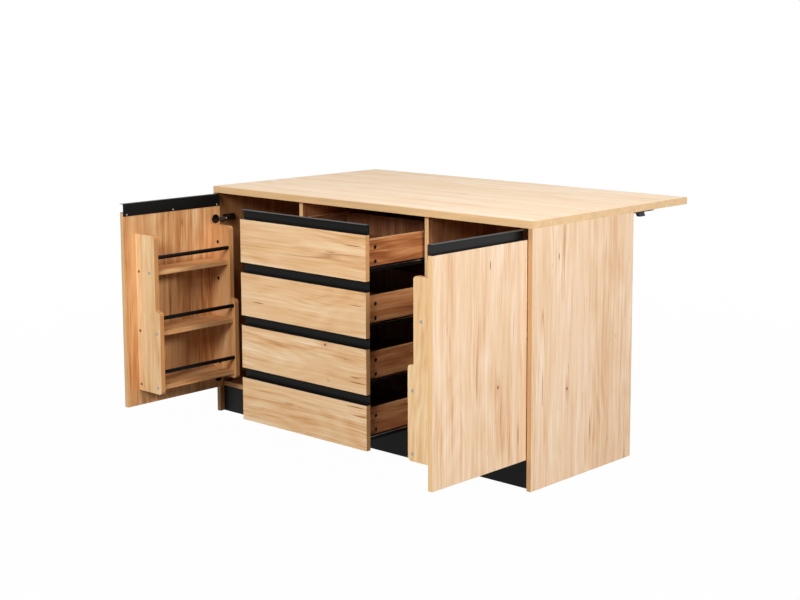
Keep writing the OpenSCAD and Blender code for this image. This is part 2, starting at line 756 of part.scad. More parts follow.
// The fixed plate on the side panel, with its ear and the pin that the arm turns on
module leaf_bracket() {
    x = [side_in_x, side_in_x + bracket_t];
    plate_y = [-bracket_plate_w - bracket_ear_r / 2, -bracket_ear_r / 2];
    slab(x, plate_y, [-bracket_plate_h, bracket_ear_r]);
    slab(x, [plate_y[1], 0], [-bracket_ear_r, bracket_ear_r]);
    rod_x(x, 0, 0, 2 * bracket_ear_r);
    rod_x([side_in_x, arm_x + bracket_arm_w + bracket_gap], 0, 0, bracket_pin_d);
}
module leaf_brackets() color(black_color) both_sides() at_leaf_axis() leaf_bracket();

// The arm under the leaf: a channel with ears for its pin and for the release lever's
module leaf_arm() {
    cheeks = [[arm_x, arm_x + bracket_t], [arm_x + bracket_arm_w - bracket_t, arm_x + bracket_arm_w]];
    web_y = [bracket_ear_r + arm_web_gap, bracket_arm_l];
    lever_ear = lever_pin_d / 2 + lever_ear_w;
    slab([arm_x, arm_x + bracket_arm_w], web_y, [leaf_axis_drop - bracket_t, leaf_axis_drop]);
    difference() {
        for (x = cheeks) {
            slab(x, web_y, [arm_z, leaf_axis_drop]);
            slab(x, [0, web_y[0]], [arm_z, bracket_ear_r]);
            rod_x(x, 0, 0, 2 * bracket_ear_r);
            slab(x, [lever_pin_y - lever_ear, lever_pin_y + lever_ear], [lever_pin_z - lever_ear, arm_z]);
        }
        rod_x([arm_x - cut, arm_x + bracket_arm_w + cut], 0, 0, bracket_pin_d + 2 * leaf_play);
    }
    rod_x([arm_x, arm_x + bracket_arm_w], lever_pin_y, lever_pin_z, lever_pin_d);
}
module leaf_arms() color(black_color) both_sides() at_leaf_axis() leaf_arm();

// The release lever: a hub on its pin between the arm's cheeks and a paddle that hangs below
module release_lever(side) color(black_color) on_side(side) at_leaf_axis()
    translate([0, lever_pin_y, lever_pin_z]) difference() {
        union() {
            rod_x(lever_x, 0, 0, 2 * lever_hub_r);
            drawn_x(lever_x) polygon([[-lever_hub_r / 2, -lever_top_gap],
                                      [lever_l - lever_slope, -lever_top_gap],
                                      [lever_l, -lever_drop], [lever_root, -lever_drop]]);
        }
        rod_x([lever_x[0] - cut, lever_x[1] + cut], 0, 0, lever_pin_d + 2 * leaf_play);
    }

// ---- Nodes ----

worktop();
side_panel("left");  // side_panel_left
side_panel("right");  // side_panel_right
partition("left");  // partition_left
partition("right");  // partition_right
bottom_panel();
back_panel();
toe_kick();
plinth_braces();
shelves();
shelf_pins();
cabinet_runners();
hinge_arms();
leaf_brackets();
leaf_hinge_plates();
hinge_links("left");  // hinge_links_left
hinge_links("right");  // hinge_links_right
door("left");  // door_left
door_handle("left");  // door_left_handle
door_rack_sides("left");  // door_left_rack_sides
door_rack_shelves("left");  // door_left_rack_shelves
door_rack_rails("left");  // door_left_rack_rails
door_hinge_cups("left");  // door_left_hinge_cups
door_screws("left");  // door_left_screws
door("right");  // door_right
door_handle("right");  // door_right_handle
door_rack_sides("right");  // door_right_rack_sides
door_rack_shelves("right");  // door_right_rack_shelves
door_rack_rails("right");  // door_right_rack_rails
door_hinge_cups("right");  // door_right_hinge_cups
door_screws("right");  // door_right_screws
drawer_front(1);  // drawer_1_front
drawer_handle(1);  // drawer_1_handle
drawer_sides(1);  // drawer_1_sides
drawer_back(1);  // drawer_1_back
drawer_bottom(1);  // drawer_1_bottom
drawer_runners(1);  // drawer_1_runners
drawer_front(2);  // drawer_2_front
drawer_handle(2);  // drawer_2_handle
drawer_sides(2);  // drawer_2_sides
drawer_back(2);  // drawer_2_back
drawer_bottom(2);  // drawer_2_bottom
drawer_runners(2);  // drawer_2_runners
drawer_front(3);  // drawer_3_front
drawer_handle(3);  // drawer_3_handle
drawer_sides(3);  // drawer_3_sides
drawer_back(3);  // drawer_3_back
drawer_bottom(3);  // drawer_3_bottom
drawer_runners(3);  // drawer_3_runners
drawer_front(4);  // drawer_4_front
drawer_handle(4);  // drawer_4_handle
drawer_sides(4);  // drawer_4_sides
drawer_back(4);  // drawer_4_back
drawer_bottom(4);  // drawer_4_bottom
drawer_runners(4);  // drawer_4_runners
leaf();
leaf_hinge_flaps();
leaf_arms();
release_lever("left");  // release_lever_left
release_lever("right");  // release_lever_right
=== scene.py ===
"""Kitchen island unit: oak-decor laminate boards, black metal grips, runners and brackets.

Metres, +Z up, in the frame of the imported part: the fronts face -Y and the drop leaf is at +Y.
Names that end in mm, marks on boards and the places of fittings are in millimetres.
"""
import math

import bpy
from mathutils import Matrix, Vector


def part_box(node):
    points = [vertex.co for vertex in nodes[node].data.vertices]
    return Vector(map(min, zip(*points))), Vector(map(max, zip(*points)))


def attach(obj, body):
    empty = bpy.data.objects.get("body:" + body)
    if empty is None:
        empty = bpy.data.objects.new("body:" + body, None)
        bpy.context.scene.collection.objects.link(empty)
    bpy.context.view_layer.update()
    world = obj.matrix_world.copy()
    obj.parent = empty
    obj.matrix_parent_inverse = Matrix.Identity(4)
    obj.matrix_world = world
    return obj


MM = 0.001
AXES = "xyz"
WHITE = (1, 1, 1, 1)
SIDES = {"left": -1, "right": 1}

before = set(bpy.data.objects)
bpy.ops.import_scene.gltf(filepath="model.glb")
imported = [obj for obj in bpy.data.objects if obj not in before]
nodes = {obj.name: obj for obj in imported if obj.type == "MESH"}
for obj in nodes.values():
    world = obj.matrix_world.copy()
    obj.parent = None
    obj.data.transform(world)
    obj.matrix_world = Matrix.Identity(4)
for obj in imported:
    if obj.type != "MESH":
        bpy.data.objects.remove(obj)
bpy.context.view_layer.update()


def spans(node):
    """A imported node's lowest and highest X, Y and Z at rest, in mm."""
    low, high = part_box(node)
    return [(a / MM, b / MM) for a, b in zip(low, high)]


# ---- Colours and node trees ----


def linear(hex_colour):
    """An sRGB hex colour as linear red, green, blue and alpha."""
    parts = [int(hex_colour[i:i + 2], 16) / 255 for i in (1, 3, 5)]
    return [p / 12.92 if p <= 0.04045 else ((p + 0.055) / 1.055) ** 2.4 for p in parts] + [1]


def add(tree, kind, inputs=(), output=0, stops=(), **settings):
    """Adds a shader node with its settings, and links or sets its inputs, which are a list in their
    order or a dict by their names. Stops are the (place, hex colour) marks of a colour ramp.
    Returns one of its outputs, or the node if it has none."""
    node = tree.nodes.new("ShaderNode" + kind)
    for key, value in settings.items():
        setattr(node, key, value)
    pairs = inputs.items() if isinstance(inputs, dict) else enumerate(inputs)
    for key, value in pairs:
        if isinstance(value, bpy.types.NodeSocket):
            tree.links.new(value, node.inputs[key])
        else:
            node.inputs[key].default_value = value
    if stops:
        marks = node.color_ramp.elements
        while len(marks) < len(stops):
            marks.new(0.5)
        for mark, (place, colour) in zip(marks, stops):
            mark.position = place
            mark.color = linear(colour)
    return node.outputs[output] if node.outputs else node


def new_material(name, **shader_inputs):
    """A material whose Principled shader takes the given inputs, named as on the node."""
    material = bpy.data.materials.new(name)
    material.use_nodes = True
    tree = material.node_tree
    tree.nodes.clear()
    surface = add(tree, "BsdfPrincipled", {key.replace("_", " "): v for key, v in shader_inputs.items()})
    add(tree, "OutputMaterial", [surface])
    return material, tree, surface.node


def backdrop_rays(tree):
    """1 for the rays that show the backdrop as white: camera, glossy and transmission rays."""
    rays = add(tree, "LightPath").node.outputs
    seen = add(tree, "Math", [rays["Is Camera Ray"], rays["Is Glossy Ray"]], operation="MAXIMUM")
    return add(tree, "Math", [seen, rays["Is Transmission Ray"]], operation="MAXIMUM")


# ---- Camera, light and floor ----

CAMERA_PLACE = (3.794, -4.081, 1.545)
CAMERA_TURN = 41.83
CAMERA_PITCH = 7.5
CAMERA_LENS = 67.73
CAMERA_SHIFT = (-0.05, -0.1)
SENSOR_WIDTH = 36

# each soft box: its name, place, what it faces, side length and power
SOFT_BOXES = [
    ("right_light", (5.2, -1.2, 3.4), (0.8, 0, 0.45), 1.4, 215),
    ("front_light", (1.6, -5.0, 3.2), (0, -0.4, 0.5), 1.8, 232),
    ("top_light", (0.2, 0.0, 4.5), (0, 0, 0.9), 2.0, 40),
]
# a card at the back right, which lends the faces towards it a sheen and no other light
SHEEN_CARD = ("sheen_card", (5.0, 3.6, 1.5), (0.8, -0.5, 0.8), 3.0, 130)
WORLD_STRENGTH = 0.13

FLOOR_HALF = 15.0
# the floor's share of glow under the unit, and the distances between which it grows to 1
FLOOR_GLOW = 0.985
GLOW_REACH = (1.2, 4.0)


def place_camera():
    data = bpy.data.cameras.new("camera")
    data.sensor_width = SENSOR_WIDTH
    data.lens = CAMERA_LENS
    data.shift_x, data.shift_y = CAMERA_SHIFT
    camera = bpy.data.objects.new("camera", data)
    camera.location = CAMERA_PLACE
    camera.rotation_euler = [math.radians(90 - CAMERA_PITCH), 0, math.radians(CAMERA_TURN)]
    bpy.context.scene.collection.objects.link(camera)
    bpy.context.scene.camera = camera


def soft_box(name, place, target, size, power):
    """A square area lamp, which isn't seen itself. Returns its object."""
    data = bpy.data.lights.new(name, "AREA")
    data.size = size
    data.energy = power
    lamp = bpy.data.objects.new(name, data)
    lamp.location = place
    lamp.rotation_euler = (Vector(target) - Vector(place)).to_track_quat("-Z", "Y").to_euler()
    lamp.visible_camera = False
    bpy.context.scene.collection.objects.link(lamp)
    return lamp


def light_world():
    """Plain white light, and a white background."""
    world = bpy.data.worlds.new("studio")
    bpy.context.scene.world = world
    world.use_nodes = True
    tree = world.node_tree
    tree.nodes.clear()
    light = add(tree, "Background", [WHITE, WORLD_STRENGTH])
    backdrop = add(tree, "Background", [WHITE, 1.0])
    surface = add(tree, "MixShader", [backdrop_rays(tree), light, backdrop])
    add(tree, "OutputWorld", [surface])


def white_floor_paint():
    """Matt white paint, which shows nearly as bright as the backdrop, with a faint shadow."""
    material, tree, shader = new_material("white_floor_paint", Base_Color=linear("#8C8C8C"), Roughness=0.9)
    glow = add(tree, "Emission", [WHITE, 1.0])
    place = add(tree, "TexCoord", output="Object")
    distance = add(tree, "VectorMath", [place], "Value", operation="LENGTH")
    # the glow grows to 1 away from the unit, so that no horizon shows
    share = add(tree, "MapRange", [distance, *GLOW_REACH, FLOOR_GLOW, 1.0])
    share = add(tree, "Math", [backdrop_rays(tree), share], operation="MULTIPLY")
    surface = add(tree, "MixShader", [share, shader.outputs[0], glow])
    tree.links.new(surface, tree.nodes["Material Output"].inputs["Surface"])
    return material


def lay_floor():
    mesh = bpy.data.meshes.new("floor")
    corners = [(x * FLOOR_HALF, y * FLOOR_HALF, 0) for x, y in ((-1, -1), (1, -1), (1, 1), (-1, 1))]
    mesh.from_pydata(corners, [], [(0, 1, 2, 3)])
    mesh.materials.append(white_floor_paint())
    floor = bpy.data.objects.new("floor", mesh)
    bpy.context.scene.collection.objects.link(floor)


# ---- Wood decor laminate ----


def tones_round(middle, swing=0.08):
    """Three tones from darker to lighter round a middle sRGB colour."""
    parts = [int(middle[i:i + 2], 16) for i in (1, 3, 5)]
    shades = [[min(255, round(p * k)) for p in parts] for k in (1 - swing, 1, 1 + swing)]
    return [(place, "#%02X%02X%02X" % tuple(shade)) for place, shade in zip((0.0, 0.5, 1.0), shades)]


# the decor's tones from its darkest to its palest streaks
PANEL_TONES = [(0.0, "#CB9B6B"), (0.22, "#DFB187"), (0.42, "#EAC59F"), (0.6, "#F1D1AF"), (0.85, "#F8E1C8")]
RACK_TONES = [(0.0, "#CB9960"), (0.22, "#DFAF79"), (0.42, "#EAC28F"), (0.6, "#F1CE9E"), (0.85, "#F8DEB4")]
TOP_TONES = [(0.0, "#DDB080"), (0.35, "#F0CCA1"), (0.6, "#F8DDBD"), (1.0, "#FCE9D2")]
FRONT_TONES = [(0.0, "#B57E4C"), (0.2, "#D29D68"), (0.42, "#E4B887"), (0.62, "#EDC89C"), (0.9, "#F6DDB9")]
BOX_TONES = [(0.0, "#94552E"), (0.3, "#AE6C3F"), (0.55, "#C07E4D"), (1.0, "#D49A6A")]
# the tones of the faces and boards inside the unit, which are darker and browner: painted shade, for the
# shade that falls inside the carcass, the racks and the drawers
DOOR_BACK_SHADE = [(0.0, "#8A4F2A"), (0.25, "#AE7243"), (0.5, "#C9935F"), (0.75, "#DAAC7D"), (1.0, "#E4C096")]
PANEL_INSIDE_SHADE = [(0.0, "#6E4426"), (0.5, "#99683F"), (1.0, "#B98A5E")]
CARCASS_INSIDE_SHADE = [(0.0, "#6E3F25"), (0.3, "#8F5B39"), (0.55, "#A46F48"), (1.0, "#C09068")]
BOX_INSIDE_SHADE = [(0.0, "#5A3320"), (0.35, "#764A2F"), (0.6, "#8A5E3F"), (1.0, "#A87C58")]
# the tones of edging bands
TOP_EDGE = tones_round("#E3BC8A")
DOOR_EDGE = tones_round("#E2BA88")
# the side panels' edging band is darker than the others: partly the band's own tone and partly painted shade
# of their shaded front edges
PANEL_EDGE_SHADED = tones_round("#BD9265")
FRONT_EDGE = tones_round("#CC9964")
BOX_EDGE = tones_round("#D29A66")
RACK_EDGE = tones_round("#C28A56", 0.12)

CRACK_TONE = "#B48460"
FLECK_TONE = "#B07C54"
# how far each step of the seed moves the figure along X, Y and Z, in figures
SEED_SHIFT = (7.31, 3.17, 5.53)
# growth rings between the lowest and the highest place of their hill
RING_COUNT = 14.0


# A printed mark is an oval: its place across and along the grain, its half width and half length in mm,
# its tone, its strength, and how far out from its middle it keeps that strength, as a share.


def knot(across, along):
    """A small printed knot: a soft brown halo along the grain and a dark core."""
    return [(across, along, 16, 60, "#D2A275", 0.5, 0.0), (across, along, 6, 8, "#84502C", 0.9, 0.3)]


def crack(across, along, half_length, half_width=2.2):
    """A printed crack: a hair-thin brown line along the grain."""
    return [(across, along, half_width, half_length, "#98643E", 0.9, 0.5)]


# printed marks that the boards show, in mm across and along the grain
PANEL_MARKS = knot(-93, 316) + crack(-227, 343, 80) + crack(-143, 773, 16, 3) + crack(40, 150, 60)
DOOR_MARKS = knot(-434, 379) + crack(-539, 433, 105) + crack(-475, 782, 18, 3) + crack(-330, 200, 50)
FRONT_MARKS = [
    crack(802, 255, 55) + crack(770, 150, 30, 1.5),
    crack(548, -225, 35) + crack(600, 270, 40, 1.5),
    knot(445, 118) + crack(335, 275, 50) + crack(352, 262, 30),
    crack(250, 265, 60) + crack(221, 285, 45) + crack(205, -60, 40, 1.5),
]


def soft_figure(tree, place, along, across_mm, along_mm, shift=(0, 0, 0), detail=2.0, roughness=0.5,
                output=0):
    """A noise from 0 to 1 with figures across_mm wide and along_mm long, drawn out along one axis."""
    scale = [1 / (across_mm * MM)] * 3
    scale[AXES.index(along)] = 1 / (along_mm * MM)
    spot = add(tree, "Mapping", {"Vector": place, "Location": shift, "Scale": scale})
    inputs = {"Vector": spot, "Scale": 1.0, "Detail": detail, "Roughness": roughness}
    return add(tree, "TexNoise", inputs, output)


def swaying_place(tree, place, along, shift, sway_mm):
    """A place that sways across the grain, so that the figure isn't ruled."""
    wander = soft_figure(tree, place, along, 240, 520, shift, detail=1.5, output="Color")
    wander = add(tree, "VectorMath", [wander, (0.5, 0.5, 0.5)], operation="SUBTRACT")
    reach = [sway_mm * MM] * 3
    reach[AXES.index(along)] = 0.0
    sway = add(tree, "VectorMath", [wander, reach], operation="MULTIPLY")
    return add(tree, "VectorMath", [place, sway], operation="ADD")


def growth_rings(tree, place, along, shift):
    """Level lines of a long soft hill, which close into the flame figure."""
    hill = soft_figure(tree, place, along, 170, 900, shift, detail=0.5)
    rings = add(tree, "Math", [hill, RING_COUNT], operation="MULTIPLY")
    rings = add(tree, "Math", [rings, 0.5], operation="PINGPONG")
    return add(tree, "MapRange", [rings, 0.0, 0.5])


def decor_value(tree, place, swaying, along, shift, grain, contrast, flame, length):
    """Where the decor lies between its darkest tone at 0 and its palest at 1."""
    bands = soft_figure(tree, swaying, along, 80, 1100, shift)
    streaks = soft_figure(tree, swaying, along, 25, 400 * length, shift, 3.0, 0.6)
    lines = soft_figure(tree, swaying, along, 8, 240 * length, shift, 2.0, 0.6)
    patches = soft_figure(tree, swaying, along, 55, 150, shift)
    rings = growth_rings(tree, swaying, along, shift)
    layers = [(bands, 0.5), (streaks, 0.7), (lines, 0.6), (grain, 0.4), (patches, 0.2), (rings, flame)]
    total = 0.0
    for layer, weight in layers:
        off_middle = add(tree, "Math", [layer, 0.5], operation="SUBTRACT")
        total = add(tree, "Math", [off_middle, weight, total], operation="MULTIPLY_ADD")
    # some places are calm and others lively
    lively = soft_figure(tree, place, along, 130, 420, shift, 1.0)
    swing = add(tree, "MapRange", [lively, 0.3, 0.7, 0.5 * contrast, 1.4 * contrast])
    return add(tree, "Math", [total, swing, 0.5], operation="MULTIPLY_ADD")


def printed_cracks(tree, place, along, shift):
    """Long hairlines in a few places: a level line of a stretched noise."""
    hill = soft_figure(tree, place, along, 60, 2000, shift, 0.0)
    off_level = add(tree, "Math", [hill, 0.5], operation="SUBTRACT")
    off_level = add(tree, "Math", [off_level], operation="ABSOLUTE")
    line = add(tree, "MapRange", [off_level, 0.0, 0.007, 1.0, 0.0])
    where = soft_figure(tree, place, along, 150, 330, shift, 1.0)
    where = add(tree, "MapRange", [where, 0.56, 0.62, 0.0, 0.6])
    return add(tree, "Math", [line, where], operation="MULTIPLY")


def printed_flecks(tree, place, along, shift):
    """Short dark flecks along the grain."""
    flecks = soft_figure(tree, place, along, 7, 45, shift, 1.0)
    return add(tree, "MapRange", [flecks, 0.74, 0.84, 0.0, 0.5])


def printed_mark(tree, place, along, thin, oval, strength, core):
    """The strength of a mark, which fades from its core to its rim."""
    across, up, half_width, half_length = oval
    across_axis = next(axis for axis in AXES if axis not in (along, thin))
    scale, shift = [0.0] * 3, [0.0] * 3
    for axis, middle, reach in ((across_axis, across, half_width), (along, up, half_length)):
        scale[AXES.index(axis)] = 1 / (reach * MM)
        shift[AXES.index(axis)] = -middle / reach
    near = add(tree, "Mapping", {"Vector": place, "Location": shift, "Scale": scale})
    distance = add(tree, "VectorMath", [near], "Value", operation="LENGTH")
    return add(tree, "MapRange", [distance, core, 1.0, strength, 0.0])


def facing(tree, thin):
    """1 or -1 on a board's wide faces, which look along its thin axis, and 0 on its narrow ones."""
    normal = add(tree, "TexCoord", output="Normal")
    return add(tree, "SeparateXYZ", [normal], thin.upper())


def painted_shade_face(tree, place, thin, middle):
    """1 on the wide face that looks towards the middle, where the tones of painted shade go, and 0 elsewhere.
    """
    level = add(tree, "SeparateXYZ", [place], thin.upper())
    side = add(tree, "Math", [middle * MM, level], operation="SUBTRACT")
    side = add(tree, "Math", [side], operation="SIGN")
    towards = add(tree, "Math", [facing(tree, thin), side], operation="MULTIPLY")
    return add(tree, "MapRange", [towards, 0.5, 0.9])


def narrow_face(tree, thin):
    """1 on the narrow faces, and 0 on the wide ones."""
    wide = add(tree, "Math", [facing(tree, thin)], operation="ABSOLUTE")
    return add(tree, "MapRange", [wide, 0.6, 0.9, 1.0, 0.0])


def oak_laminate(name, along, thin, seed, tones, edge=(), inner_shade_tones=(), middle=0.0, sway_mm=60,
                 contrast=1.0, flame=0.1, length=1.0, marks=(), roughness=0.5):
    """Printed oak decor under a satin melamine film: flat to the touch, so the grain is nearly all
    colour. Broad pale and peach bands, tan streaks, soft flame figure, thin cracks, a few small knots.
    The narrow faces may have an edging band of their own tones. The wide face that looks towards
    the middle, given in mm along the thin axis, may have darker tones of painted shade. Length stretches the
    figure."""
    material, tree, shader = new_material(name, Specular_IOR_Level=0.3)
    shift = [seed * part for part in SEED_SHIFT]
    place = add(tree, "TexCoord", output="Object")
    swaying = swaying_place(tree, place, along, shift, sway_mm)
    # the real pores are about 1 mm wide, and are drawn wider so that they show
    grain = soft_figure(tree, place, along, 3.5, 100 * length, shift)
    value = decor_value(tree, place, swaying, along, shift, grain, contrast, flame, length)
    colour = add(tree, "ValToRGB", [value], stops=tones)

    # what lies over the decor: how it blends, its share and its colour
    layers = []
    # painted shade: the face that looks towards the middle takes the darker, browner tones
    if inner_shade_tones:
        share = painted_shade_face(tree, place, thin, middle)
        layers.append(("MIX", share, add(tree, "ValToRGB", [value], stops=inner_shade_tones)))
    layers.append(("MULTIPLY", printed_cracks(tree, place, along, shift), linear(CRACK_TONE)))
    layers.append(("MULTIPLY", printed_flecks(tree, place, along, shift), linear(FLECK_TONE)))
    for *oval, tone, strength, core in marks:
        share = printed_mark(tree, place, along, thin, oval, strength, core)
        layers.append(("MULTIPLY", share, linear(tone)))
    if edge:
        # the edging band is a plainer, more golden foil; on the side panels its tones are darkened as painted
        # shade
        layers.append(("MIX", narrow_face(tree, thin), add(tree, "ValToRGB", [value], stops=edge)))
    for blend, share, over in layers:
        colour = add(tree, "Mix", {0: share, 6: colour, 7: over}, 2, data_type="RGBA", blend_type=blend)

    relief = add(tree, "Bump", {"Strength": 0.06, "Distance": 0.3 * MM, "Height": grain})
    gloss = add(tree, "MapRange", [grain, 0.3, 0.7, roughness - 0.05, roughness + 0.06])
    tree.links.new(colour, shader.inputs["Base Color"])
    tree.links.new(relief, shader.inputs["Normal"])
    tree.links.new(gloss, shader.inputs["Roughness"])
    return material


# ---- Metals and plastics ----


def plain_finish(name, colour, roughness, metallic=0.0, level=0.5, grit_mm=2.0, swing=0.06, relief=0.05):
    """A finish of one colour, with a grit in its gloss and relief, which is drawn coarser than the real
    one so that it shows. Level is how strongly the finish mirrors."""
    material, tree, shader = new_material(name, Base_Color=linear(colour), Metallic=metallic,
                                          Specular_IOR_Level=level)
    place = add(tree, "TexCoord", output="Object")
    grit = soft_figure(tree, place, "x", grit_mm, grit_mm)
    gloss = add(tree, "MapRange", [grit, 0.3, 0.7, roughness - swing, roughness + swing])
    bump = add(tree, "Bump", {"Strength": relief, "Distance": 0.1 * MM, "Height": grit})
    tree.links.new(gloss, shader.inputs["Roughness"])
    tree.links.new(bump, shader.inputs["Normal"])
    return material


def black_powder_coat():
    """Steel sheet under a satin powder coat: near black, with a soft broad sheen and orange peel."""
    return plain_finish("black_powder_coat", "#0E0D0C", 0.43, level=0.12, grit_mm=1.5, swing=0.05, relief=0.1)


def black_kick_laminate():
    """Black melamine film on the toe kick: flat and dull, and a little greyer where light grazes it."""
    return plain_finish("black_kick_laminate", "#101010", 0.5, level=0.13, grit_mm=6.0)


def black_moulded_plastic():
    """Moulded nylon of the levers: black, with blurred highlights on its edges."""
    return plain_finish("black_moulded_plastic", "#0E0D0D", 0.45, level=0.2, grit_mm=1.5)


def black_nickel():
    """Black nickel plating on the hinge arms: dark metal that mirrors its surroundings dimly."""
    return plain_finish("black_nickel", "#33302D", 0.35, metallic=0.9)


def smoked_nickel():
    """Smoked nickel plating on the hinge cups and screws: a warmer, lighter and glossier dark metal."""
    return plain_finish("smoked_nickel", "#4C463F", 0.32, metallic=0.9)


def zinc_plated_steel():
    """Plain zinc plating on pressed steel: light grey metal with a soft gloss."""
    return plain_finish("zinc_plated_steel", "#B4B2AE", 0.35, metallic=1.0)


def bright_zinc_screws():
    """Bright zinc plating on screws: pale metal points that catch the light."""
    return plain_finish("bright_zinc_screws", "#C4C2BE", 0.3, metallic=1.0)


def dark_diecast_zinc():
    """Rough die-cast zinc of the cams: dull dark discs in their holes."""
    return plain_finish("dark_diecast_zinc", "#2C2723", 0.45, metallic=0.6)


def blackened_screws():
    """Phosphated steel screws: black, with a faint oily gloss."""
    return plain_finish("blackened_screws", "#17171A", 0.4, level=0.3)


def grey_caps():
    """Moulded grey caps on the rack screws: matt light spots in the wood."""
    return plain_finish("grey_caps", "#A5A39E", 0.45)


def brown_plastic_plugs():
    """Moulded plugs in the racks' outer holes: small brown spots, duller than the wood."""
    return plain_finish("brown_plastic_plugs", "#6B4A1E", 0.5)


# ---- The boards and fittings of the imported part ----

# widths of the eased edges
BOARD_EASE_MM = 0.8
BOX_EASE_MM = 0.5
GRIP_EASE_MM = 0.4
LEVER_EASE_MM = 0.6


def dress(names, material, ease_mm=0.0):
    """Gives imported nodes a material, and eases their edges by a small bevel."""
    for name in names:
        piece = nodes[name]
        piece.data.materials.clear()
        piece.data.materials.append(material)
        if ease_mm:
            bevel = piece.modifiers.new("eased_edges", "BEVEL")
            bevel.width = ease_mm * MM
            bevel.segments = 2
            bevel.limit_method = "ANGLE"
            bevel.angle_limit = math.radians(60)


def dress_top():
    top = oak_laminate("worktop_laminate", "x", "z", 1, TOP_TONES, TOP_EDGE, sway_mm=30, contrast=1.3,
                       flame=0.08, length=2.2, roughness=0.45)
    dress(["worktop", "leaf"], top, BOARD_EASE_MM)


def dress_carcass():
    # painted shade: the side panels' faces inside the carcass take darker tones
    for seed, side in enumerate(SIDES, 3):
        panel = oak_laminate(f"side_panel_laminate_{side}", "z", "x", seed, PANEL_TONES, PANEL_EDGE_SHADED,
                             PANEL_INSIDE_SHADE, marks=PANEL_MARKS, sway_mm=40, contrast=1.3, length=1.4)
        dress([f"side_panel_{side}"], panel, BOARD_EASE_MM)
    # painted shade: the partitions are wholly in the darker inside tones, with a pale edging band
    upright = oak_laminate("partition_laminate", "z", "x", 28, CARCASS_INSIDE_SHADE, DOOR_EDGE, contrast=1.3)
    dress(["partition_left", "partition_right"], upright, BOARD_EASE_MM)
    # painted shade: the back panel's front face takes the darker inside tones
    back = oak_laminate("back_panel_laminate", "z", "y", 29, PANEL_TONES, inner_shade_tones=CARCASS_INSIDE_SHADE, contrast=1.3,
                        length=1.4)
    dress(["back_panel"], back, BOARD_EASE_MM)
    # painted shade: the bottom panel, shelves and plinth braces are wholly in the darker inside tones
    level = oak_laminate("shelf_laminate", "x", "z", 30, CARCASS_INSIDE_SHADE, FRONT_EDGE)
    dress(["bottom_panel", "shelves", "plinth_braces"], level, BOARD_EASE_MM)
    dress(["toe_kick"], black_kick_laminate(), BOARD_EASE_MM)


def dress_door(number, side):
    # painted shade: the door's face towards the unit takes darker tones
    door = oak_laminate(f"door_laminate_{side}", "z", "x", 5 + number, PANEL_TONES, DOOR_EDGE, DOOR_BACK_SHADE,
                        marks=DOOR_MARKS, sway_mm=40, contrast=1.25, length=1.4)
    dress([f"door_{side}"], door, BOARD_EASE_MM)
    # painted shade: the rack sides' faces towards the rack's middle take the door's darker tones
    _, (near_y, far_y), _ = spans(f"door_{side}_rack_sides")
    rack = oak_laminate(f"rack_laminate_{side}", "z", "y", 8 + number, RACK_TONES, RACK_EDGE, DOOR_BACK_SHADE,
                        middle=(near_y + far_y) / 2, contrast=1.2)
    dress([f"door_{side}_rack_sides"], rack, BOARD_EASE_MM)
    # painted shade: the rack shelves are wholly in the darker tones
    tier = oak_laminate(f"rack_shelf_laminate_{side}", "y", "z", 10 + number, DOOR_BACK_SHADE)
    dress([f"door_{side}_rack_shelves"], tier, BOARD_EASE_MM)


def dress_drawer(number, marks):
    front = oak_laminate(f"drawer_front_laminate_{number}", "x", "y", 11 + number, FRONT_TONES, FRONT_EDGE,
                         sway_mm=50, contrast=1.2, length=1.8, marks=marks)
    dress([f"drawer_{number}_front"], front, BOARD_EASE_MM)
    # painted shade: the sides' faces inside the box take darker tones
    box = oak_laminate(f"drawer_side_laminate_{number}", "y", "x", 15 + number, BOX_TONES, BOX_EDGE,
                       BOX_INSIDE_SHADE, contrast=1.9, flame=0.2)
    dress([f"drawer_{number}_sides"], box, BOX_EASE_MM)
    # painted shade: the drawer back and bottom are wholly in the darker inside tones
    back = oak_laminate(f"drawer_back_laminate_{number}", "z", "y", 19 + number, BOX_INSIDE_SHADE, contrast=1.3)
    dress([f"drawer_{number}_back"], back, BOX_EASE_MM)
    bottom = oak_laminate(f"drawer_bottom_laminate_{number}", "y", "z", 23 + number, BOX_INSIDE_SHADE)
    dress([f"drawer_{number}_bottom"], bottom, BOX_EASE_MM)


def dress_fittings(nickel):
    coat = black_powder_coat()
    grips = [name for name in nodes if name.endswith("_handle")]
    rails = [name for name in nodes if name.endswith("_rack_rails")]
    runners = [name for name in nodes if name.endswith("_runners")]
    dress(grips, coat, GRIP_EASE_MM)
    dress(rails + runners + ["leaf_brackets", "leaf_arms"], coat)
    dress(["hinge_arms"], black_nickel())
    dress(["door_left_hinge_cups", "door_right_hinge_cups"], nickel)
    links = ["hinge_links_left", "hinge_links_right"]
    dress(links + ["leaf_hinge_plates", "leaf_hinge_flaps", "shelf_pins"], zinc_plated_steel())
    dress(["door_left_screws", "door_right_screws"], grey_caps())
    dress(["release_lever_left", "release_lever_right"], black_moulded_plastic(), LEVER_EASE_MM)


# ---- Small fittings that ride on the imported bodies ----

RIM_POINTS = 24
QUARTER_POINTS = RIM_POINTS // 4
# the corners of a bar that bound each of its faces
BAR_FACES = ((0, 1, 3, 2), (4, 6, 7, 5), (0, 4, 5, 1), (2, 3, 7, 6), (0, 2, 6, 4), (1, 5, 7, 3))


def add_piece(name, body, material, points, faces):
    """A mesh piece from points in mm, which rides on a body and takes the given material."""
    mesh = bpy.data.meshes.new(name)
    mesh.from_pydata([[v * MM for v in point] for point in points], [], faces)
    mesh.materials.append(material)
    piece = bpy.data.objects.new(name, mesh)
    bpy.context.scene.collection.objects.link(piece)
    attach(piece, body)


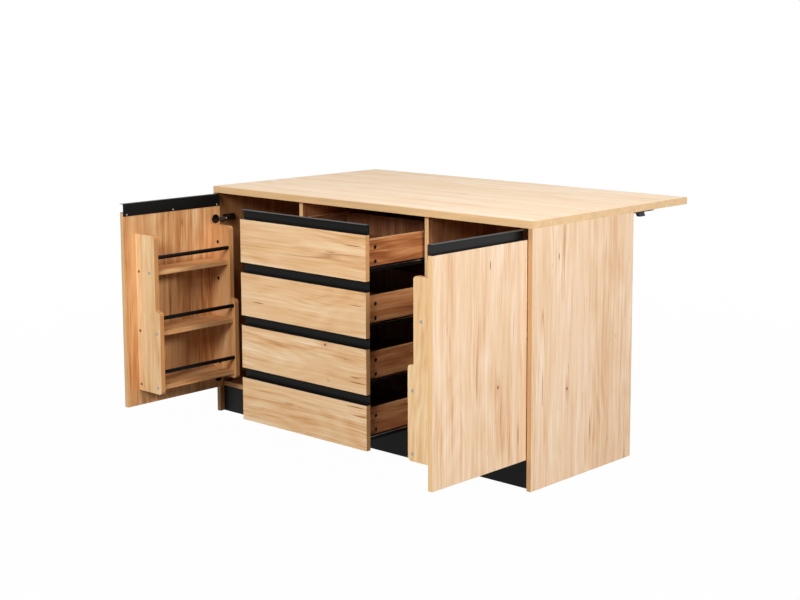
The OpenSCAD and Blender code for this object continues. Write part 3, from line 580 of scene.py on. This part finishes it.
def cross_corners(radius):
    """The outline of a screwdriver cross, as three corners for each quarter: two at the arm's tip
    and one at its root."""
    arm, half = 0.58 * radius, 0.15 * radius
    corners = []
    for quarter in range(4):
        c, s = round(math.cos(quarter * math.pi / 2)), round(math.sin(quarter * math.pi / 2))
        corners += [(x * c - y * s, x * s + y * c) for x, y in ((arm, -half), (arm, half), (half, half))]
    return corners


def round_head(radius, height, recess):
    """Points and faces of a chamfered round head. Recess is the depth of the cross in it as a share
    of its height, or 0 for a plain head."""
    points, faces = [], []

    def outline(corners, z):
        points.extend(Vector((x, y, z)) for x, y in corners)
        return list(range(len(points) - len(corners), len(points)))

    def circle(r):
        angles = [2 * math.pi * k / RIM_POINTS for k in range(RIM_POINTS)]
        return [(r * math.cos(a), r * math.sin(a)) for a in angles]

    chamfer = min(0.25 * height, 0.12 * radius)
    foot, shoulder = outline(circle(radius), 0), outline(circle(radius), height - chamfer)
    rim = outline(circle(radius - chamfer), height)
    faces.append(foot[::-1])
    for low, high in ((foot, shoulder), (shoulder, rim)):
        faces += [(low[k - 1], low[k], high[k], high[k - 1]) for k in range(RIM_POINTS)]
    if not recess:
        return points, faces + [rim]
    corners = cross_corners(radius)
    upper, lower = outline(corners, height), outline(corners, height * (1 - recess))
    # the top round the cross: for each quarter a face at the arm's tip and one beside the arm
    for quarter in range(4):
        first, tip = quarter * QUARTER_POINTS, quarter * 3
        faces.append((rim[first - 1], rim[first], rim[first + 1], upper[tip + 1], upper[tip]))
        faces.append(rim[first + 1:first + QUARTER_POINTS]
                     + [upper[(tip + 3) % len(upper)], upper[tip + 2], upper[tip + 1]])
    faces += [(upper[k - 1], upper[k], lower[k], lower[k - 1]) for k in range(len(upper))]
    return points, faces + [lower]


def round_heads(name, body, slot, material, places, radius, height, recess=0.55):
    """A piece of round heads that stand on (centre, direction) places."""
    head_points, head_faces = round_head(radius, height, recess)
    points, faces = [], []
    for centre, direction in places:
        turn = Vector(direction).to_track_quat("Z", "Y")
        faces += [[len(points) + k for k in face] for face in head_faces]
        points += [Vector(centre) + turn @ point for point in head_points]
    add_piece(name, body, material, points, faces)


def bars(name, body, material, boxes):
    """A piece of plain bars between (low, high) limits along X, Y and Z."""
    points, faces = [], []
    for x, y, z in boxes:
        faces += [[len(points) + k for k in corners] for corners in BAR_FACES]
        points += [(a, b, c) for a in x for b in y for c in z]
    add_piece(name, body, material, points, faces)


# a cam disc in its hole, and the depth of its foot under the board's face
CAM_RADIUS = 7.3
CAM_HEIGHT = 7.6
CAM_FOOT = 8.4
CAM_RECESS = 0.3
# cams in the drawer sides: behind the front and above the lower edge
BOX_CAM_INSET = 49
BOX_CAM_RISES = (13, 62)
# screws behind the grips: above the grip's lower edge and from its ends
GRIP_SCREW_RISE = 6
GRIP_SCREW_INSET = 16
GRIP_SCREW_SIZE = (3, 1.2)
# a thin pale zinc strip along a drawer runner, a painted glint for the light along the runner's edge: from
# its flange's edge inwards, and down from its top
GLINT_STRIP_INSETS = (7.55, 6.9)
GLINT_STRIP_DROPS = (8, 5.5)


def fit_drawer(number, zinc, cam_metal):
    body = f"drawer_{number}"
    (_, face_x), (front_y, _), (low_z, _) = spans(f"{body}_sides")
    cams = [((sign * (face_x - CAM_FOOT), front_y + BOX_CAM_INSET, low_z + rise), (sign, 0, 0))
            for sign in (-1, 1) for rise in BOX_CAM_RISES]
    round_heads(f"{body}_cams", body, "screw_metal", cam_metal, cams, CAM_RADIUS, CAM_HEIGHT, CAM_RECESS)

    (low_x, high_x), (_, back_y), (low_z, _) = spans(f"{body}_handle")
    screws = [((x, back_y, low_z + GRIP_SCREW_RISE), (0, 1, 0))
              for x in (low_x + GRIP_SCREW_INSET, 0, high_x - GRIP_SCREW_INSET)]
    round_heads(f"{body}_grip_screws", body, "screw_metal", zinc, screws, *GRIP_SCREW_SIZE)

    # painted glint: a pale strip on each runner, which stands in for the light caught along the runner's edge
    (_, flange_x), lengthwise, (_, top_z) = spans(f"{body}_runners")
    near, far = (flange_x - inset for inset in GLINT_STRIP_INSETS)
    height = [top_z - drop for drop in GLINT_STRIP_DROPS]
    glint_strips = [((near, far), lengthwise, height), ((-far, -near), lengthwise, height)]
    bars(f"{body}_runner_glint_strips", body, zinc, glint_strips)


# racks: thickness of their side boards, and cams from the door and from the lower and upper ends
RACK_BOARD = 18
RACK_CAM_INSET = 39
RACK_CAM_RISES = (52, 386)
RACK_CAM_DROP = 67
# plugs in the outer faces, one beside each shelf
PLUG_INSET = 15
PLUG_RISES = (24, 229)
PLUG_DROP = 142
PLUG_SIZE = (5.5, 0.9)
PLUG_FOOT = 0.4


def fit_door(side, sign, cam_metal, plug):
    body = f"door_{side}"
    edges_x, (near_y, far_y), (low_z, high_z) = spans(f"{body}_rack_sides")
    door_x = max(edges_x, key=abs)
    heights = [low_z + rise for rise in RACK_CAM_RISES] + [high_z - RACK_CAM_DROP]
    inner_faces = ((near_y + RACK_BOARD, 1), (far_y - RACK_BOARD, -1))
    cams = [((door_x - sign * RACK_CAM_INSET, y - way * CAM_FOOT, z), (0, way, 0))
            for y, way in inner_faces for z in heights]
    round_heads(f"{body}_rack_cams", body, "screw_metal", cam_metal, cams, CAM_RADIUS, CAM_HEIGHT, CAM_RECESS)

    heights = [low_z + rise for rise in PLUG_RISES] + [high_z - PLUG_DROP]
    plugs = [((door_x - sign * PLUG_INSET, y - way * PLUG_FOOT, z), (0, way, 0))
             for y, way in ((near_y, -1), (far_y, 1)) for z in heights]
    round_heads(f"{body}_rack_plugs", body, "inner_laminate", plug, plugs, *PLUG_SIZE, recess=0)


# the slanted face of a hinge arm: its pin end and its back end, from the side panel and behind its edge
ARM_PIN_END = (32, 25)
ARM_BACK_END = (11.5, 83.5)
ARM_SCREW_SHARES = (0.33, 0.72)
ARM_SCREW_SIZE = (3.6, 1.4)
CUP_RADIUS = 17.4


def fit_hinge_arms(nickel):
    """Two adjusting screws in the slanted face of each hinge arm."""
    (panel_x, _), (panel_y, _), _ = spans("side_panel_right")
    _, _, (cup_low, cup_high) = spans("door_left_hinge_cups")
    pin_end, back_end = (Vector((panel_x - x, panel_y + y, 0)) for x, y in (ARM_PIN_END, ARM_BACK_END))
    run = back_end - pin_end
    screws = []
    for z in (cup_low + CUP_RADIUS, cup_high - CUP_RADIUS):
        for share in ARM_SCREW_SHARES:
            spot = pin_end + share * run
            screws += [((sign * spot.x, spot.y, z), (-sign * run.y, run.x, 0)) for sign in (-1, 1)]
    round_heads("hinge_arm_screws", "carcass", "bright_steel", nickel, screws, *ARM_SCREW_SIZE)


# screws in the cabinet runners: above the lowest runner's foot, and from its front and rear ends
RUNNER_SHEET = 1.2
RUNNER_SCREW_RISE = 11.4
RUNNER_SCREW_INSETS = (45, 30)
RUNNER_SCREW_SIZE = (3, 0.8)
DRAWER_COUNT = len(FRONT_MARKS)


def fit_cabinet_runners(zinc):
    """Three screws in each runner on the partitions."""
    (_, face_x), (low_y, high_y), (low_z, _) = spans("cabinet_runners")
    _, _, (top_front_z, _) = spans("drawer_1_front")
    _, _, (low_front_z, _) = spans(f"drawer_{DRAWER_COUNT}_front")
    pitch = (top_front_z - low_front_z) / (DRAWER_COUNT - 1)
    front_inset, rear_inset = RUNNER_SCREW_INSETS
    screws = [((sign * (face_x - RUNNER_SHEET), y, low_z + RUNNER_SCREW_RISE + row * pitch), (-sign, 0, 0))
              for row in range(DRAWER_COUNT) for sign in (-1, 1)
              for y in (low_y + front_inset, 0, high_y - rear_inset)]
    round_heads("cabinet_runner_screws", "carcass", "screw_metal", zinc, screws, *RUNNER_SCREW_SIZE)


# screws in the leaf's middle hinges
LEAF_HINGE_X = 300
LEAF_HINGE_SHEET = 2
LEAF_HINGE_SCREW_INSET = 12
LEAF_HINGE_SCREW_PITCH = 24
LEAF_HINGE_SCREW_SIZE = (3.5, 0.9)


def fit_leaf_hinges(zinc):
    """Three screws under each plate of the leaf's middle hinges."""
    _, (plate_y, _), (_, plate_z) = spans("leaf_hinge_plates")
    _, (_, flap_y), (_, flap_z) = spans("leaf_hinge_flaps")
    for name, body, y, top_z in (("leaf_hinge_plate", "carcass", plate_y + LEAF_HINGE_SCREW_INSET, plate_z),
                                 ("leaf_hinge_flap", "drop_leaf", flap_y - LEAF_HINGE_SCREW_INSET, flap_z)):
        screws = [((x + step * LEAF_HINGE_SCREW_PITCH, y, top_z - LEAF_HINGE_SHEET), (0, 0, -1))
                  for x in (-LEAF_HINGE_X, LEAF_HINGE_X) for step in (-1, 0, 1)]
        round_heads(f"{name}_screws", body, "screw_metal", zinc, screws, *LEAF_HINGE_SCREW_SIZE)


# screws in the leaf's brackets: from the fixed plate's front edge and above its lower end
BRACKET_SHEET = 2
BRACKET_SCREW_INSET = 11
BRACKET_SCREW_RISES = (14, 62, 110)
BRACKET_SCREW_SIZE = (3.8, 1.4)
# screws in the arms under the leaf: from the arm's side and from its free end
LEAF_ARM_MIDDLE = 9
LEAF_ARM_SCREW_INSETS = (130, 16)
LEAF_ARM_SCREW_SIZE = (3.5, 1.2)


def fit_leaf_brackets(black):
    (_, face_x), (low_y, _), (low_z, _) = spans("leaf_brackets")
    screws = [((sign * (face_x - BRACKET_SHEET), low_y + BRACKET_SCREW_INSET, low_z + rise), (-sign, 0, 0))
              for sign in (-1, 1) for rise in BRACKET_SCREW_RISES]
    round_heads("leaf_bracket_screws", "carcass", "screw_metal", black, screws, *BRACKET_SCREW_SIZE)
    (_, arm_x), (_, end_y), (_, top_z) = spans("leaf_arms")
    screws = [((sign * (arm_x - LEAF_ARM_MIDDLE), end_y - inset, top_z - BRACKET_SHEET), (0, 0, -1))
              for sign in (-1, 1) for inset in LEAF_ARM_SCREW_INSETS]
    round_heads("leaf_arm_screws", "drop_leaf", "screw_metal", black, screws, *LEAF_ARM_SCREW_SIZE)


def add_fittings(nickel):
    zinc, cam_metal, plug = bright_zinc_screws(), dark_diecast_zinc(), brown_plastic_plugs()
    for number in range(1, DRAWER_COUNT + 1):
        fit_drawer(number, zinc, cam_metal)
    for side, sign in SIDES.items():
        fit_door(side, sign, cam_metal, plug)
    fit_hinge_arms(nickel)
    fit_cabinet_runners(zinc)
    fit_leaf_hinges(zinc)
    fit_leaf_brackets(blackened_screws())


# ---- The whole scene ----

place_camera()
light_world()
for lamp in SOFT_BOXES:
    soft_box(*lamp)
soft_box(*SHEEN_CARD).visible_diffuse = False
lay_floor()

dress_top()
dress_carcass()
for number, side in enumerate(SIDES):
    dress_door(number, side)
for number, marks in enumerate(FRONT_MARKS, 1):
    dress_drawer(number, marks)
nickel = smoked_nickel()
dress_fittings(nickel)
add_fittings(nickel)

bpy.context.scene.view_settings.view_transform = "Standard"
